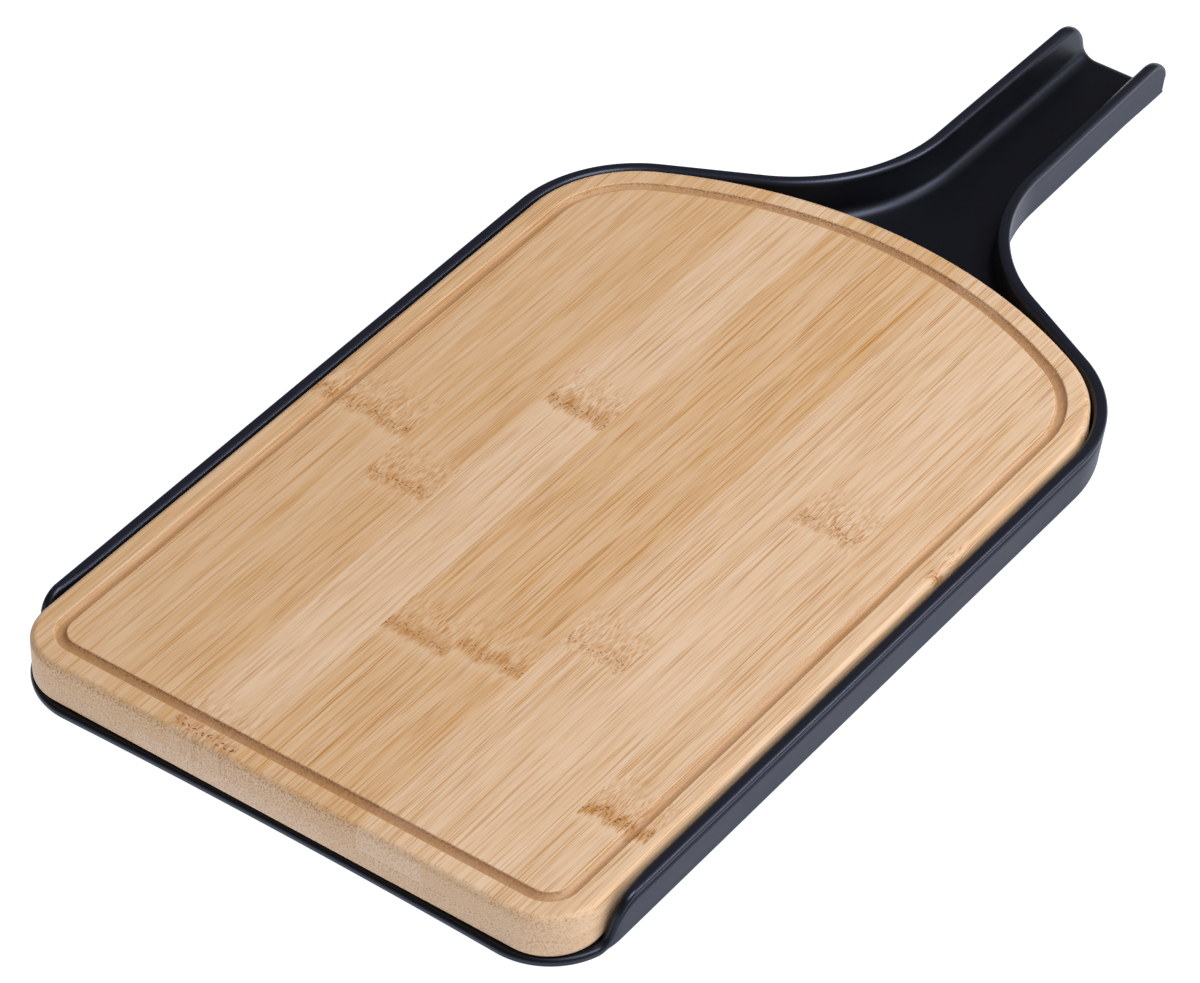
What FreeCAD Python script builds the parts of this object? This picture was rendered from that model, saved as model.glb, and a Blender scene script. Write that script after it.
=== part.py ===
"""Bamboo cutting board that lies in a one-piece plastic tray with a channel handle.

The board is laminated from two plies of bamboo strips, and each strip is a node of its own. The
tray is one moulding: a flat floor, a wall round the sides and the back, an open front, and a neck
that narrows into a U-shaped handle. The board slides out over the open front.

Frame: +Z up, +Y from the open front to the handle, X across. Sizes are in millimetres. The model
is built with the board's front edge at y = 0 and the tray's underside at z = 0, and then moved
along Y, so that the origin is the centre of the underside's bounding box.
"""
import FreeCAD, Part
import math
import os
from dataclasses import dataclass

Vector = FreeCAD.Vector

# Board
BOARD_WIDTH = 230.0
BOARD_LENGTH = 353.0            # front edge to the top of the arch
BOARD_THICKNESS = 18.0
TOP_PLY_THICKNESS = 9.5
ARCH_RADIUS = 193.0             # the board's back edge
BACK_CORNER_RADIUS = 47.0
FRONT_CORNER_RADIUS = 20.0
EDGE_ROUNDING = 2.5
STRIP_WIDTH = 26.2
TOP_SEAM = 6.6                  # x of one seam of the top ply; the others follow at STRIP_WIDTH
BOTTOM_SEAM = 18.5              # x of one seam of the bottom ply

# Juice groove, round the board's face
GROOVE_INSET = 10.2             # board's edge to the groove's centreline
GROOVE_WIDTH = 4.0
GROOVE_DEPTH = 2.4
GROOVE_LIP = 0.5                # rounding of the groove's two lips

# Tray: its outline is drawn at the top of the rim, where the wall is widest
TRAY_WIDTH = 242.4
FLOOR_THICKNESS = 3.6
RIM_BELOW_BOARD = 1.5           # the board's face stands this far above the rim
RIM_WIDTH = 3.7
RIM_INNER_ROUNDING = 0.6
OUTER_ROUNDING = 1.5            # along the rim, down to the front lip and round the handle's end
OUTER_DRAFT = 2.4               # how far the outside of the wall leans in at the underside
INNER_DRAFT = 1.0               # how far the inside of the wall leans in at the floor
FLOOR_FILLET = 3.4
UNDERSIDE_ROUNDING = 3.4
WALL_FOOT = 10.0                # width of the swept edge of the tray, wall and floor together
TRAY_FRONT_CORNER = 29.0
TRAY_FRONT_CORNER_Y = 25.0      # centre of the front corners
FRONT_HOLLOW_RADIUS = 3200.0    # the front edge is very slightly hollow in plan

# Front ends of the side walls, which drop in an S-curve to the floor
WALL_DROP_Y = 22.5              # middle of the drop
WALL_DROP_ANGLE = 70.0          # degrees from level
WALL_DROP_TOP_RADIUS = 10.0
WALL_DROP_FOOT_RADIUS = 6.0
SLIDE_CLEARANCE = 0.3           # each side of the board, where it passes the feet of the walls

# Neck and handle
NECK_RADIUS = 66.4
HANDLE_WIDTH = 45.2             # at the narrow end of the neck
HANDLE_NECK_Y = 412.8           # where the neck's hollow curve has become parallel
HANDLE_TAPER = 1.0              # degrees, each side
HANDLE_END_Y = 502.7
EAR_RADIUS = 13.0               # rounded top corners of the handle's two walls

BOARD_BOTTOM = FLOOR_THICKNESS
BOARD_TOP = BOARD_BOTTOM + BOARD_THICKNESS
PLY_LINE = BOARD_TOP - TOP_PLY_THICKNESS
RIM_TOP = BOARD_TOP - RIM_BELOW_BOARD
CUTTER_MARGIN = 10.0            # how far a cutting tool runs past what it cuts
TOUCHING = 1e-6                 # points closer than this are the same point
NEARBY = 0.01                   # an edge this close to a point passes through it
MIRROR_NORMAL = Vector(1, 0, 0)


def polar(angle, radius=1.0):
    """Vector of the given length in the XY plane, its angle in degrees from +X."""
    return Vector(radius * math.cos(math.radians(angle)), radius * math.sin(math.radians(angle)), 0)


@dataclass
class Line:
    """Straight stretch of an outline, which is followed with its outside on the right."""
    start: Vector
    end: Vector

    def outward(self):
        travel = (self.end - self.start).normalize()
        return Vector(travel.y, -travel.x, 0)

    def edge(self, offset):
        shift = self.outward() * offset
        return Part.LineSegment(self.start + shift, self.end + shift).toShape()

    def sweep(self, corners):
        face = section_face(corners, self.start, self.outward())
        return face.extrude(self.end - self.start)


@dataclass
class Arc:
    """Round stretch of an outline: it bulges out if its angles grow, and is hollow if they fall."""
    centre: Vector
    radius: float
    first: float
    last: float

    def bulges(self):
        return self.last > self.first

    def point(self, angle, offset=0.0):
        return self.centre + polar(angle, self.radius + (offset if self.bulges() else -offset))

    def edge(self, offset):
        middle = (self.first + self.last) / 2
        points = [self.point(angle, offset) for angle in (self.first, middle, self.last)]
        return Part.Arc(*points).toShape()

    def sweep(self, corners):
        outward = polar(self.first) if self.bulges() else polar(self.first + 180)
        face = section_face(corners, self.point(self.first), outward)
        return face.revolve(self.centre, Vector(0, 0, 1), self.last - self.first)


def rounded_face(corners, place):
    """Face inside a closed outline of (a, b, rounding) corners, which place(a, b) puts in space."""
    count = len(corners)
    joints = []
    for index, (a, b, rounding) in enumerate(corners):
        here = Vector(a, b, 0)
        before = Vector(*corners[index - 1][:2], 0) - here
        after = Vector(*corners[(index + 1) % count][:2], 0) - here
        if rounding == 0:
            joints.append([here])
            continue
        half = before.getAngle(after) / 2
        before.normalize()
        after.normalize()
        bisector = (before + after).normalize()
        tangent = rounding / math.tan(half)
        middle = bisector * (rounding / math.sin(half) - rounding)
        joints.append([here + before * tangent, here + middle, here + after * tangent])
    edges = []
    for index, joint in enumerate(joints):
        points = [place(point.x, point.y) for point in joint]
        if len(points) == 3:
            edges.append(Part.Arc(*points).toShape())
        following = joints[(index + 1) % count][0]
        if following.distanceToPoint(joint[-1]) > TOUCHING:
            edges.append(Part.LineSegment(points[-1], place(following.x, following.y)).toShape())
    return Part.Face(Part.Wire(edges))


def section_face(corners, station, outward):
    """Upright section of a swept edge at one station of the outline."""
    return rounded_face(corners, lambda u, z: station + outward * u + Vector(0, 0, z))


def side_view_cutter(corners):
    """Tool that runs right across the tray, with its shape drawn in the YZ plane."""
    reach = TRAY_WIDTH / 2 + CUTTER_MARGIN
    face = rounded_face(corners, lambda y, z: Vector(-reach, y, z))
    return face.extrude(Vector(2 * reach, 0, 0))


def with_mirror_image(shape):
    """Right half of a shape, joined to its mirror image in the plane x = 0."""
    whole = shape.fuse(shape.mirror(Vector(0, 0, 0), MIRROR_NORMAL)).removeSplitter()
    return whole.Solids[0]


def half_plate(stretches, offset, bottom, height):
    """Right half of a flat plate inside an outline that is moved outward by offset."""
    edges = [stretch.edge(offset) for stretch in stretches]
    first = edges[0].firstVertex().Point
    ends = sorted((vertex.Point for vertex in edges[-1].Vertexes), key=lambda point: point.y)
    last = ends[-1]
    axis_point = Vector(0, last.y, 0)
    if last.x > TOUCHING:
        edges.append(Part.LineSegment(last, axis_point).toShape())
    edges.append(Part.LineSegment(axis_point, Vector(0, first.y, 0)).toShape())
    face = Part.Face(Part.Wire(Part.sortEdges(edges)[0]))
    face.translate(Vector(0, 0, bottom))
    return face.extrude(Vector(0, 0, height))


def board_outline():
    """Right half of the board's outline, from the middle of the front to the top of the arch."""
    half = BOARD_WIDTH / 2
    front_centre = Vector(half - FRONT_CORNER_RADIUS, FRONT_CORNER_RADIUS, 0)
    arch_centre = Vector(0, BOARD_LENGTH - ARCH_RADIUS, 0)
    back_x = half - BACK_CORNER_RADIUS
    between_centres = ARCH_RADIUS - BACK_CORNER_RADIUS
    back_rise = math.sqrt(between_centres ** 2 - back_x ** 2)
    back_centre = Vector(back_x, arch_centre.y + back_rise, 0)
    join = math.degrees(math.atan2(back_rise, back_x))
    return [
        Line(Vector(0, 0, 0), Vector(front_centre.x, 0, 0)),
        Arc(front_centre, FRONT_CORNER_RADIUS, -90, 0),
        Line(Vector(half, front_centre.y, 0), Vector(half, back_centre.y, 0)),
        Arc(back_centre, BACK_CORNER_RADIUS, 0, join),
        Arc(arch_centre, ARCH_RADIUS, join, 90),
    ]


def tray_outline():
    """Right half of the tray's outline, from the middle of the front to the handle's end."""
    half = TRAY_WIDTH / 2
    clearance = half - BOARD_WIDTH / 2
    board_corner = board_outline()[3]

    front_centre = Vector(half - TRAY_FRONT_CORNER, TRAY_FRONT_CORNER_Y, 0)
    between_centres = FRONT_HOLLOW_RADIUS + TRAY_FRONT_CORNER
    fall = math.sqrt(between_centres ** 2 - front_centre.x ** 2)
    hollow_centre = Vector(0, front_centre.y - fall, 0)
    front_join = math.degrees(math.atan2(fall, front_centre.x))

    back_centre = board_corner.centre
    back_radius = board_corner.radius + clearance
    neck_centre = Vector(HANDLE_WIDTH / 2 + NECK_RADIUS, HANDLE_NECK_Y, 0)
    between = neck_centre - back_centre
    bearing = math.degrees(math.atan2(between.y, between.x))
    swing = math.degrees(math.acos((back_radius + NECK_RADIUS) / between.Length))
    shoulder = bearing - swing

    corner = Arc(back_centre, back_radius, 0, shoulder)
    neck = Arc(neck_centre, NECK_RADIUS, shoulder + 180, 180 + HANDLE_TAPER)
    handle_start = neck.point(neck.last)
    handle_run = HANDLE_END_Y + CUTTER_MARGIN - handle_start.y
    handle_end = handle_start + Vector(-handle_run * math.tan(math.radians(HANDLE_TAPER)), handle_run, 0)
    return [
        Arc(hollow_centre, FRONT_HOLLOW_RADIUS, 90, front_join),
        Arc(front_centre, TRAY_FRONT_CORNER, front_join - 180, 0),
        Line(Vector(half, front_centre.y, 0), Vector(half, back_centre.y, 0)),
        corner,
        Line(corner.point(corner.last), neck.point(neck.first)),
        neck,
        Line(handle_start, handle_end),
    ]


def tray_section():
    """Corners of the tray's edge: wall and floor in one, with u = 0 at the rim's outer edge."""
    inner = -RIM_WIDTH
    return [
        (-WALL_FOOT, 0.0, 0),
        (-OUTER_DRAFT, 0.0, UNDERSIDE_ROUNDING),
        (0.0, RIM_TOP, 0),
        (inner, RIM_TOP, RIM_INNER_ROUNDING),
        (inner - INNER_DRAFT, FLOOR_THICKNESS, FLOOR_FILLET),
        (-WALL_FOOT, FLOOR_THICKNESS, 0),
    ]


def front_cutter():
    """Takes the wall away at the front, above the floor, in an S-curve seen from the side."""
    above = RIM_TOP + CUTTER_MARGIN
    ahead = -2 * CUTTER_MARGIN
    half_rise = (RIM_TOP - FLOOR_THICKNESS) / 2
    half_run = half_rise / math.tan(math.radians(WALL_DROP_ANGLE))
    behind = WALL_DROP_Y + half_run + 2 * WALL_DROP_TOP_RADIUS
    return side_view_cutter([
        (ahead, FLOOR_THICKNESS, 0),
        (WALL_DROP_Y - half_run, FLOOR_THICKNESS, WALL_DROP_FOOT_RADIUS),
        (WALL_DROP_Y + half_run, RIM_TOP, WALL_DROP_TOP_RADIUS),
        (behind, RIM_TOP, 0),
        (behind, above, 0),
        (ahead, above, 0),
    ])


def board_way_cutter():
    """Keeps the feet of the side walls clear of the board as it slides out."""
    half = BOARD_WIDTH / 2 + SLIDE_CLEARANCE
    above = RIM_TOP + CUTTER_MARGIN
    face = rounded_face([
        (-half, FLOOR_THICKNESS, EDGE_ROUNDING),
        (half, FLOOR_THICKNESS, EDGE_ROUNDING),
        (half, above, 0),
        (-half, above, 0),
    ], lambda x, z: Vector(x, -2 * CUTTER_MARGIN, z))
    return face.extrude(Vector(0, TRAY_FRONT_CORNER_Y + 2 * CUTTER_MARGIN, 0))


def handle_end_cutter():
    """Trims the handle's end square, and rounds the top corners of its two walls."""
    above = RIM_TOP + CUTTER_MARGIN
    beyond = HANDLE_END_Y + 2 * CUTTER_MARGIN
    inside = HANDLE_END_Y - EAR_RADIUS - CUTTER_MARGIN
    return side_view_cutter([
        (inside, RIM_TOP, 0),
        (HANDLE_END_Y, RIM_TOP, EAR_RADIUS),
        (HANDLE_END_Y, -CUTTER_MARGIN, 0),
        (beyond, -CUTTER_MARGIN, 0),
        (beyond, above, 0),
        (inside, above, 0),
    ])


def edges_through(shape, point):
    """Edges of a shape that pass through a point."""
    return [edge for edge in shape.Edges if edge.distToShape(Part.Vertex(point))[0] < NEARBY]


def make_tray():
    """The tray and its handle, as one moulding."""
    outline = tray_outline()
    section = tray_section()
    edge_pieces = [stretch.sweep(section) for stretch in outline]
    floor = half_plate(outline, -WALL_FOOT, 0.0, FLOOR_THICKNESS)
    half = floor.multiFuse(edge_pieces).removeSplitter()
    whole = with_mirror_image(half)
    tray = whole.cut([front_cutter(), board_way_cutter(), handle_end_cutter()]).Solids[0]
    # The outer edge is one smooth loop, so rounding one stretch of it rounds all of it.
    on_outer_edge = Vector(TRAY_WIDTH / 2, BOARD_LENGTH / 2, RIM_TOP)
    return tray.makeFillet(OUTER_ROUNDING, edges_through(tray, on_outer_edge)).Solids[0]


def groove_section():
    """Corners of the juice groove's cutter: upright sides and a half-round floor."""
    left = -GROOVE_INSET - GROOVE_WIDTH / 2
    right = -GROOVE_INSET + GROOVE_WIDTH / 2
    floor = BOARD_TOP - GROOVE_DEPTH
    return [
        (left, BOARD_TOP + CUTTER_MARGIN, 0),
        (left, floor, GROOVE_WIDTH / 2),
        (right, floor, GROOVE_WIDTH / 2),
        (right, BOARD_TOP + CUTTER_MARGIN, 0),
    ]


def make_board_blank():
    """The whole board in one piece, before it is divided into its strips."""
    outline = board_outline()
    blank = with_mirror_image(half_plate(outline, 0.0, BOARD_BOTTOM, BOARD_THICKNESS))
    faces = [face for face in blank.Faces if abs(face.normalAt(0, 0).z) > 0.99]
    blank = blank.makeFillet(EDGE_ROUNDING, [edge for face in faces for edge in face.Edges])
    grooves = [stretch.sweep(groove_section()) for stretch in outline]
    grooves += [groove.mirror(Vector(0, 0, 0), MIRROR_NORMAL) for groove in grooves]
    blank = blank.cut(grooves).removeSplitter().Solids[0]
    beside_groove = [BOARD_WIDTH / 2 - GROOVE_INSET + side * GROOVE_WIDTH / 2 for side in (-1, 1)]
    lips = [edge for x in beside_groove
            for edge in edges_through(blank, Vector(x, BOARD_LENGTH / 2, BOARD_TOP))]
    return blank.makeFillet(GROOVE_LIP, lips).Solids[0]


def seams(one_seam):
    """X positions at which a ply is divided, from the board's left edge to its right edge."""
    half = BOARD_WIDTH / 2
    first = one_seam - math.floor((one_seam + half) / STRIP_WIDTH) * STRIP_WIDTH
    count = math.ceil((half - first) / STRIP_WIDTH)
    inner = [first + index * STRIP_WIDTH for index in range(count)]
    return [-half] + inner + [half]


def make_strips(blank, name, one_seam, bottom, top):
    """Strips of one ply, numbered from the left, as a dictionary of node name to solid."""
    cuts = seams(one_seam)
    strips = {}
    for number, (left, right) in enumerate(zip(cuts, cuts[1:]), start=1):
        block = Part.makeBox(right - left, BOARD_LENGTH, top - bottom, Vector(left, 0, bottom))
        strips[f"{name}_{number:02d}"] = blank.common(block).Solids[0]
    return strips


def main():
    tray = make_tray()
    blank = make_board_blank()
    nodes = {"tray": tray}
    nodes.update(make_strips(blank, "top_strip", TOP_SEAM, PLY_LINE, BOARD_TOP))
    nodes.update(make_strips(blank, "bottom_strip", BOTTOM_SEAM, BOARD_BOTTOM, PLY_LINE))

    box = tray.optimalBoundingBox(True, False)
    to_origin = Vector(0, -(box.YMin + box.YMax) / 2, 0)
    os.makedirs("parts", exist_ok=True)
    for name, shape in nodes.items():
        shape.translate(to_origin)
        shape.exportStep(f"parts/{name}.step")
        print(f"{name}: volume {shape.Volume:.0f}, valid {shape.isValid()}, solids {len(shape.Solids)}")
    size = [round(length, 2) for length in (box.XLength, box.YLength, box.ZLength)]
    print(f"tray box {size}, moved along Y by {to_origin.y:.3f}")


main()
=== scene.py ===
"""Bamboo cutting board lying in a moulded tray with a channel handle: the finished look of both.

The board keeps its glued strips as they are in the frame, and each strip gets a bamboo of its own.
The tray is carried round its outline as one smooth moulding, with its parting line, its rounded
rim and the flared lip at the handle's end. Shapes are worked out in millimetres in the board's own
frame: x across, y from the board's front edge towards the handle, z up from the tray's underside.
"""
import logging
import math
from dataclasses import dataclass
from enum import Enum

import bmesh
import bpy
import numpy as np
from mathutils import Matrix, Vector


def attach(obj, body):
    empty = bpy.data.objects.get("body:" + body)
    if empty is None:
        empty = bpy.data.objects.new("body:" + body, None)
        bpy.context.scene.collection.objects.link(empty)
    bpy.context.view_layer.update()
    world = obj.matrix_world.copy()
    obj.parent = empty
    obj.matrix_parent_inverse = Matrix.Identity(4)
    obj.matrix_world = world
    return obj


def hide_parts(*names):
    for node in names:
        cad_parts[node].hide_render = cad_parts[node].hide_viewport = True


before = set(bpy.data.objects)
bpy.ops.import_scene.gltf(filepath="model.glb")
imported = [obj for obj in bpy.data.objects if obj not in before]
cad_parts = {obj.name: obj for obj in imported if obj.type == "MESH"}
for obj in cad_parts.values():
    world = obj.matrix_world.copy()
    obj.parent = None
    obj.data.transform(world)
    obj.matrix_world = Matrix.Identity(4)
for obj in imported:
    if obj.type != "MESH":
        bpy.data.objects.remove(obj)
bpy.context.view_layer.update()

LOG = logging.getLogger("cutting_board")
MM = 0.001                  # one millimetre in metres
FRONT_EDGE_Y = -250.616     # the board's front edge in the frame, in millimetres
BOARD_TOP_Z = 21.6          # height of the board's face
PLY_LINE_Z = 12.1           # height of the glue line between the plies
QUARTER_TURN = math.pi / 2
MERGE_DISTANCE = 2e-6       # in metres, like the next
SLIVER_LENGTH = 1e-6
SEED_STEP = 17.3            # sets the patterns of neighbouring strips far apart
PATTERN_WAY = (1.0, 0.37, -0.61)    # direction in which patterns are set apart

Array = np.ndarray
Socket = bpy.types.NodeSocket
Value = Socket | float
Triple = tuple[float, float, float]
Colour = Triple
Span = tuple[float, float]
Face = list[int]


class Ply(Enum):
    """The two layers of strips that the board is glued up from."""

    TOP = "top_strip"
    BOTTOM = "bottom_strip"


def smooth_step(low: float, high: float, value: Array) -> Array:
    """Cubic ease from 0 at low to 1 at high.

    Args:
        low: Value at which the ease starts.
        high: Value at which it ends.
        value: Points to ease.

    Returns:
        3 t^2 - 2 t^3, with t the clipped share of the way from low to high.
    """
    t = np.clip((value - low) / (high - low), 0.0, 1.0)
    return t * t * (3.0 - 2.0 * t)


def changing(start: float, end: float, span: Span, value: Array) -> Array:
    """A size that eases from start to end as the value passes through the span."""
    return start + (end - start) * smooth_step(*span, value)


def circle_points(centre: Span, radius: float, angles: Array) -> tuple[Array, Array]:
    """Points and directions on a circle: centre plus radius times (cos, sin) of each angle.

    Args:
        centre: Middle of the circle.
        radius: Its radius.
        angles: Angles in degrees.

    Returns:
        The points, and the unit vectors from the centre to them.
    """
    turn = np.radians(angles)
    direction = np.stack([np.cos(turn), np.sin(turn)], axis=-1)
    return np.asarray(centre) + radius * direction, direction


def add_object(name: str, data: bpy.types.ID) -> bpy.types.Object:
    """Makes an object and links it to the scene.

    Args:
        name: Its name.
        data: Its mesh, light or camera data.

    Returns:
        The object.
    """
    made = bpy.data.objects.new(name, data)
    bpy.context.scene.collection.objects.link(made)
    return made


def mesh_object(name: str, vertices: Array, faces: list[Face]) -> bpy.types.Object:
    """Makes a smooth, closed mesh with merged doubles and outward faces.

    Args:
        name: Name of the piece.
        vertices: Points in metres, in the frame.
        faces: Corner numbers of each face.

    Returns:
        The object, standing at the origin.
    """
    mesh = bpy.data.meshes.new(name)
    mesh.from_pydata(vertices.tolist(), [], faces)
    work = bmesh.new()
    work.from_mesh(mesh)
    bmesh.ops.remove_doubles(work, verts=work.verts, dist=MERGE_DISTANCE)
    bmesh.ops.dissolve_degenerate(work, edges=work.edges, dist=SLIVER_LENGTH)
    bmesh.ops.recalc_face_normals(work, faces=work.faces)
    if work.calc_volume(signed=True) < 0:
        bmesh.ops.reverse_faces(work, faces=work.faces)
    work.to_mesh(mesh)
    work.free()
    mesh.polygons.foreach_set("use_smooth", np.ones(len(mesh.polygons), dtype=bool))
    return add_object(name, mesh)


@dataclass(frozen=True)
class Layer:
    """One layer of noise or dots in a material.

    The size is the length of a swing, or of a cell, along x, y and z in millimetres. The offset
    gives the layer a pattern of its own. Detail and roughness are the number and the strength of
    its finer layers, and reach is how many millimetres it moves what it is added to. The limits
    are the values between which the mask that is made from it changes.
    """

    size: Triple
    offset: float = 0.0
    detail: float = 0.0
    roughness: float = 0.5
    reach: float = 0.0
    limits: Span = (0.0, 1.0)


class Wiring:
    """Adds shader nodes to one material and joins them up."""

    def __init__(self, material: bpy.types.Material, seed: float = 0.0) -> None:
        """Starts with the shaded point in millimetres, whole and in parts, y from the front edge.

        Args:
            material: The material to wire.
            seed: Number that gives the material patterns of its own.
        """
        material.use_nodes = True
        self.tree = material.node_tree
        self.tree.nodes.clear()
        self.seed = seed
        here = self.node("TexCoord", {}).outputs["Object"]
        self.point = self.placed(here, (1 / MM,) * 3, (0.0, -FRONT_EDGE_Y, 0.0))
        self.x, self.y, self.z = self.split(self.point)

    def node(self, kind: str, inputs: dict[int | str, object], **settings: object) -> bpy.types.Node:
        """Adds a node, sets its properties and fills its inputs.

        Args:
            kind: Name of the node's type, without the ShaderNode in front.
            inputs: For each input's name or number the socket that it is joined to, or its value.
            **settings: Properties of the node.

        Returns:
            The node.
        """
        made = self.tree.nodes.new("ShaderNode" + kind)
        for name, value in settings.items():
            setattr(made, name, value)
        for key, value in inputs.items():
            if isinstance(value, Socket):
                self.tree.links.new(value, made.inputs[key])
            else:
                made.inputs[key].default_value = value
        return made

    def math(self, operation: str, *values: Value, clamp: bool = False) -> Socket:
        """Result of a Math node, kept from 0 to 1 where clamp is set."""
        return self.node("Math", dict(enumerate(values)), operation=operation, use_clamp=clamp).outputs[0]

    def times(self, first: Value, second: Value, clamp: bool = False) -> Socket:
        """The first value times the second, kept from 0 to 1 where clamp is set."""
        return self.math("MULTIPLY", first, second, clamp=clamp)

    def linear(self, value: Value, factor: Value, added: Value) -> Socket:
        """A value times a factor, plus what is added."""
        return self.math("MULTIPLY_ADD", value, factor, added)

    def blend(self, share: Value, first: Socket | Colour, second: Socket | Colour) -> Socket:
        """The first colour with a share of the second mixed in."""
        first, second = ((*tone, 1.0) if isinstance(tone, tuple) else tone for tone in (first, second))
        return self.node("Mix", {"Factor": share, 6: first, 7: second}, data_type="RGBA").outputs[2]

    def ease(self, value: Value, low: float, high: float, start: float = 0.0, end: float = 1.0) -> Socket:
        """Maps a value smoothly: start below low, end above high."""
        inputs = dict(enumerate((value, low, high, start, end)))
        return self.node("MapRange", inputs, interpolation_type="SMOOTHSTEP").outputs[0]

    def fade(self, value: Value, low: float, high: float) -> Socket:
        """Maps a value smoothly from 1 below low to 0 above high."""
        return self.ease(value, low, high, 1.0, 0.0)

    def window(self, value: Value, rise: Span, fall: Span) -> Socket:
        """1 between two values and 0 outside, with a smooth rise and fall."""
        return self.times(self.ease(value, *rise), self.fade(value, *fall))

    def split(self, vector: Socket) -> tuple[Socket, Socket, Socket]:
        """The x, y and z of a vector."""
        parts = self.node("SeparateXYZ", {0: vector}).outputs
        return parts[0], parts[1], parts[2]

    def vector(self, x: Value, y: Value, z: Value) -> Socket:
        """Joins three values into a vector."""
        return self.node("CombineXYZ", {0: x, 1: y, 2: z}).outputs[0]

    def placed(self, point: Socket, scale: Triple, location: Triple) -> Socket:
        """A point scaled and then moved."""
        return self.node("Mapping", {"Vector": point, "Scale": scale, "Location": location}).outputs[0]

    def distance(self, centre: Span) -> Socket:
        """Distance of the shaded point from a centre, seen from above."""
        inputs = {0: self.vector(self.x, self.y, 0.0), 1: (*centre, 0.0)}
        return self.node("VectorMath", inputs, operation="DISTANCE").outputs["Value"]

    def scaled(self, point: Socket, layer: Layer) -> Socket:
        """A point in units of a layer's own size, moved to that layer's part of the pattern."""
        location = tuple((self.seed + layer.offset) * way for way in PATTERN_WAY)
        return self.placed(point, tuple(1.0 / length for length in layer.size), location)

    def noise(self, point: Socket, layer: Layer) -> Socket:
        """Soft noise from 0 to 1 at a point in millimetres."""
        inputs = {"Vector": self.scaled(point, layer), "Detail": layer.detail, "Roughness": layer.roughness}
        return self.node("TexNoise", {**inputs, "Scale": 1.0}).outputs[0]

    def dots(self, point: Socket, layer: Layer, grid: str = "2D") -> tuple[Socket, Socket]:
        """Scattered dots, one for each cell of a grid.

        Args:
            point: The point in millimetres.
            layer: Size of a cell.
            grid: 3D, or 2D where the dots lie in the XY plane and become lines along z.

        Returns:
            The distance to the nearest dot in cells, and that dot's own number from 0 to 1.
        """
        inputs = {"Vector": self.scaled(point, layer), "Scale": 1.0}
        made = self.node("TexVoronoi", inputs, voronoi_dimensions=grid).outputs
        return made["Distance"], self.split(made["Color"])[0]

    def finish(self, colour: Socket, roughness: Socket, relief: Socket, depth: float,
               constants: dict[str, object]) -> None:
        """Ends the tree in a Principled shader with a bump.

        Args:
            colour: Base colour.
            roughness: Roughness of the surface.
            relief: Height of the fine relief, from 0 to 1.
            depth: Height of the relief in metres.
            constants: Plain values set on the shader's own sockets.
        """
        bump = self.node("Bump", {"Distance": depth, "Height": relief}).outputs[0]
        shader = self.node("BsdfPrincipled", {
            **constants, "Base Color": colour, "Roughness": roughness, "Normal": bump})
        self.node("OutputMaterial", {"Surface": shader.outputs[0]})


@dataclass(frozen=True)
class Knot:
    """A node of the bamboo stalk, where its fibres are cut short: its place along y and its look."""

    y: float
    band: float = 0.5
    fan: float = 1.0
    dark: float = 0.8


@dataclass(frozen=True)
class KnotZones:
    """Reach of a knot's parts in millimetres behind its line: where each rises, and where it falls."""

    row: tuple[Span, Span] = ((-1.9, -1.1), (0.9, 2.0))
    band: tuple[Span, Span] = ((-4.6, -2.4), (1.2, 5.0))
    fan: tuple[Span, Span] = ((-8.0, 0.0), (4.0, 26.0))
    pale: tuple[Span, Span] = ((-11.0, -5.0), (-5.0, -2.0))


@dataclass(frozen=True)
class KnotMasks:
    """How strong each part of the knots is at a point, and y as the swing of their line moves it."""

    line_y: Socket
    row: Value = 0.0
    band: Value = 0.0
    fan: Value = 0.0
    pale: Value = 0.0


@dataclass(frozen=True)
class Fibres:
    """The strip's fibres at a point: bundles, hairs, tone and lean, all from 0 to 1."""

    bundle: Socket
    patch: Socket
    hair: Socket
    tone: Socket
    lean: Socket


@dataclass(frozen=True)
class BambooGrain:
    """Layers that make up the bamboo's pattern, the same for every strip."""

    sway: Layer = Layer((45.0, 170.0, 30.0), reach=1.6)  # slow drift to the side
    rise: Layer = Layer((2.6, 60.0, 5.0), 5.0, 2.0, reach=2.2)  # slow drift in depth
    flick: Layer = Layer((1.7, 12.0, 3.0), 9.0, 1.0, reach=4.5)  # fast drift in depth at a knot
    lean: Layer = Layer((3.4, 11.0, 6.0), 11.0, reach=2.8)  # drift to the side at a knot
    bundle: Layer = Layer((0.95, 0.9, 1.0), limits=(-0.04, 0.07))  # cells with one bundle each
    patch: Layer = Layer((1.6, 32.0, 3.0), 13.0, 1.0, limits=(0.3, 0.64))  # stretches where bundles show
    hair: Layer = Layer((0.42, 34.0, 0.5), 21.0, 2.0, 0.6, limits=(0.5, 0.7))  # single fibres
    tone: Layer = Layer((2.6, 60.0, 2.6), 31.0, 2.0, 0.55, limits=(0.32, 0.7))  # broad pale and dark streaks
    pore: Layer = Layer((1.15, 1.02, 1.0), 3.0, limits=(0.2, 0.4))  # cells with one pore each
    wave: Layer = Layer((5.5, 900.0, 40.0), 1.0, 1.0, reach=6.0)  # swing of a knot's line
    comb: Layer = Layer((0.5, 900.0, 40.0), 3.0, 1.0, reach=7.0)  # torn edge of its band
    dash: Layer = Layer((0.38, 4.0, 1.2), 41.0, reach=1.6, limits=(0.49, 0.6))  # short dashes of its fan
    bend: Layer = Layer((0.9, 1.2, 2.0), 47.0, 1.0, reach=1.2)  # ragged edge of its dark marks
    mark: Layer = Layer((2.1, 1.5, 1.0), limits=(0.16, 0.3))  # cells with one dark mark each


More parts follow.
